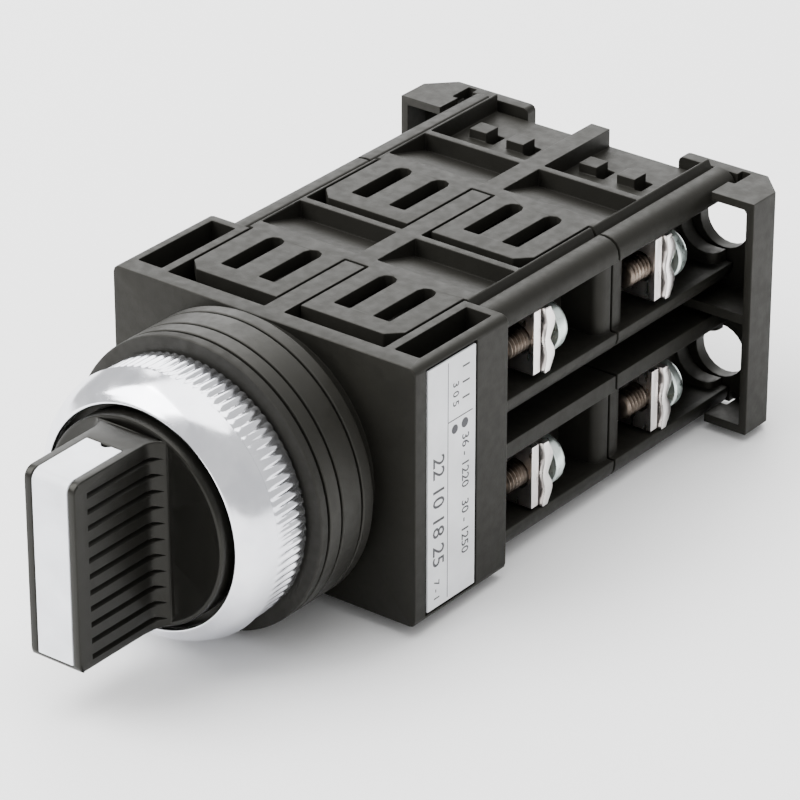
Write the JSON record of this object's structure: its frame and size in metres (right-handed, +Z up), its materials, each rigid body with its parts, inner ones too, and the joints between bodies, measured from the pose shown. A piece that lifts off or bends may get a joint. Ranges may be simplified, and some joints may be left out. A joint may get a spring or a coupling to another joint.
{
  "type": "selector switch",
  "caption": "Panel selector switch: ribbed lever knob in a knurled bezel, ring stack, base block and stacked contact blocks with screw terminals.",
  "frame": {"origin": "centre of the underside of the bounding box, on the plane that the ring stack rests on and below the knob's axis", "axes": "+X to the side with the label, +Y from the knob to the terminal covers, +Z up along the lever at rest"},
  "size_m": [0.0482, 0.095, 0.0328],
  "materials": {
    "housing_plastic": "warm black moulded plastic with a fine grain",
    "knob_plastic": "smooth black plastic",
    "ring_plastic": "black moulded plastic",
    "gasket_rubber": "black rubber",
    "bezel_chrome": "bright chrome plate on a knurled ring",
    "insert_plastic": "white plastic",
    "label_film": null,
    "plated_steel": "zinc-plated steel with a faint green tint",
    "nickel_plate": "bright nickel plate",
    "contact_copper": "copper contact bar",
    "plunger_nylon": "natural nylon",
    "spring_steel": "bright spring steel"
  },
  "bodies": {
    "switch_body": {"base_housing": "housing_plastic", "bezel_ring": "bezel_chrome", "clamp_plate_front_left_lower": "nickel_plate", "clamp_plate_front_left_upper": "nickel_plate", "clamp_plate_front_right_lower": "nickel_plate", "clamp_plate_front_right_upper": "nickel_plate", "clamp_plate_rear_left_lower": "nickel_plate", "clamp_plate_rear_left_upper": "nickel_plate", "clamp_plate_rear_right_lower": "nickel_plate", "clamp_plate_rear_right_upper": "nickel_plate", "contact_block_front": "housing_plastic", "contact_block_rear": "housing_plastic", "contact_plate_front_left_lower": "nickel_plate", "contact_plate_front_left_upper": "nickel_plate", "contact_plate_front_right_lower": "nickel_plate", "contact_plate_front_right_upper": "nickel_plate", "contact_plate_rear_left_lower": "nickel_plate", "contact_plate_rear_left_upper": "nickel_plate", "contact_plate_rear_right_lower": "nickel_plate", "contact_plate_rear_right_upper": "nickel_plate", "index_pin": "spring_steel", "index_spring": "spring_steel", "label": "label_film", "lock_ring": "ring_plastic", "operator_sleeve": "ring_plastic", "panel_gasket": "gasket_rubber", "return_spring_front_left": "spring_steel", "return_spring_front_right": "spring_steel", "return_spring_rear_left": "spring_steel", "return_spring_rear_right": "spring_steel", "shaft_seal": "gasket_rubber", "spacer_ring": "ring_plastic", "terminal_cover_left": "housing_plastic", "terminal_cover_right": "housing_plastic", "terminal_screw_front_left_lower": "plated_steel", "terminal_screw_front_left_upper": "plated_steel", "terminal_screw_front_right_lower": "plated_steel", "terminal_screw_front_right_upper": "plated_steel", "terminal_screw_rear_left_lower": "plated_steel", "terminal_screw_rear_left_upper": "plated_steel", "terminal_screw_rear_right_lower": "plated_steel", "terminal_screw_rear_right_upper": "plated_steel", "washer_ring": "ring_plastic"},
    "knob": {"knob": "knob_plastic", "knob_insert": "insert_plastic", "cam_shaft": "plunger_nylon", "retaining_clip": "spring_steel"},
    "left_plungers": {"plunger_front_left": "plunger_nylon", "plunger_rear_left": "plunger_nylon", "contact_bridge_front_left": "contact_copper", "contact_bridge_rear_left": "contact_copper"},
    "right_plungers": {"plunger_front_right": "plunger_nylon", "plunger_rear_right": "plunger_nylon", "contact_bridge_front_right": "contact_copper", "contact_bridge_rear_right": "contact_copper"}
  },
  "joints": [
    {"name": "knob_turn", "type": "hinge", "parent": "switch_body", "child": "knob", "pos_m": [0, -0.0145, 0.0164], "axis": [0, 1, 0], "range_deg": [-45, 45]},
    {"name": "right_plunger_slide", "type": "slide", "parent": "switch_body", "child": "right_plungers", "axis": [0, 1, 0], "range_m": [-0.0016, 0.0016], "deforming": ["return_spring_front_right", "return_spring_rear_right"]},
    {"name": "left_plunger_slide", "type": "slide", "parent": "switch_body", "child": "left_plungers", "axis": [0, 1, 0], "range_m": [-0.0016, 0.0016], "deforming": ["return_spring_front_left", "return_spring_rear_left"]}
  ],
  "couplings": [
    {"joint": "right_plunger_slide", "follows": "knob_turn", "m_per_rad": 0.0019099},
    {"joint": "left_plunger_slide", "follows": "knob_turn", "m_per_rad": -0.0019099}
  ]
}
